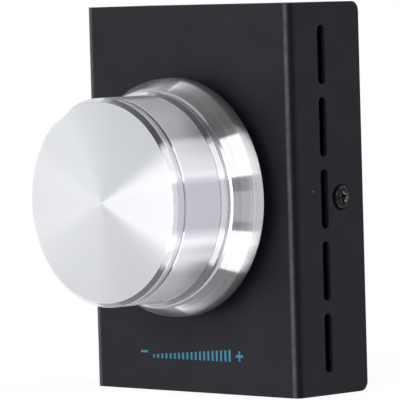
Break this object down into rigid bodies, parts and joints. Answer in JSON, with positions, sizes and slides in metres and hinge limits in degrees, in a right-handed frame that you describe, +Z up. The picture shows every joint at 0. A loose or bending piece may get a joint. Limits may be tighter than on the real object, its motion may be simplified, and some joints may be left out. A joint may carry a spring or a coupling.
{
  "type": "usb volume control knob",
  "caption": "Large turned aluminium knob on a black folded sheet steel case; the knob turns without end on an encoder and presses in to mute.",
  "frame": {"origin": "centre of the case's underside, as it stands upright in the picture", "axes": "+Z up, the knob points to -Y, the side wall with its vents and screw seen in the picture faces +X"},
  "size_m": [0.0654, 0.0526, 0.088],
  "materials": {
    "powder_coat": "satin black powder coat",
    "black_steel": "black zinc",
    "foot_rubber": "matte",
    "die_cast": "as cast zinc alloy",
    "plated_steel": "nickel plated",
    "nut_brass": "nickel plated brass",
    "black_plastic": "moulded",
    "pale_plastic": "moulded",
    "contact_brass": "stamped",
    "spring_steel": "spring steel",
    "shaft_steel": "turned",
    "board_laminate": "green solder mask on glass laminate",
    "solder": "tinned",
    "can_aluminium": "drawn can",
    "chip_ceramic": "fired",
    "turned_aluminium": "fine turned, clear anodised"
  },
  "bodies": {
    "housing": {"front_cover": "powder_coat", "rear_tray": "powder_coat", "side_screws": "black_steel", "rubber_feet": "foot_rubber", "encoder_frame": "die_cast", "encoder_washer": "plated_steel", "encoder_nut": "nut_brass", "encoder_base": "black_plastic", "encoder_wipers": "contact_brass", "encoder_terminals": "contact_brass", "detent_spring": "spring_steel", "switch_dome": "spring_steel", "circuit_board": "board_laminate", "solder_joints": "solder", "controller_chip": "black_plastic", "chip_leads": "solder", "crystal": "plated_steel", "capacitors": "can_aluminium", "chip_parts": "chip_ceramic", "usb_shell": "plated_steel", "usb_tongue": "black_plastic", "usb_contacts": "contact_brass"},
    "rotor": {"encoder_rotor": "pale_plastic"},
    "knob": {"knob": "turned_aluminium", "knob_hub": "black_plastic", "hub_clip": "spring_steel", "encoder_shaft": "shaft_steel", "switch_plunger": "pale_plastic"}
  },
  "joints": [
    {"name": "knob_spin", "type": "hinge", "parent": "housing", "child": "rotor", "pos_m": [0, -0.008, 0.0447], "axis": [0, 1, 0], "continuous": true},
    {"name": "mute_press", "type": "slide", "parent": "rotor", "child": "knob", "axis": [0, 1, 0], "range_m": [0, 0.0005], "stiffness_N_per_m": 4000, "springref_m": -0.0005}
  ]
}
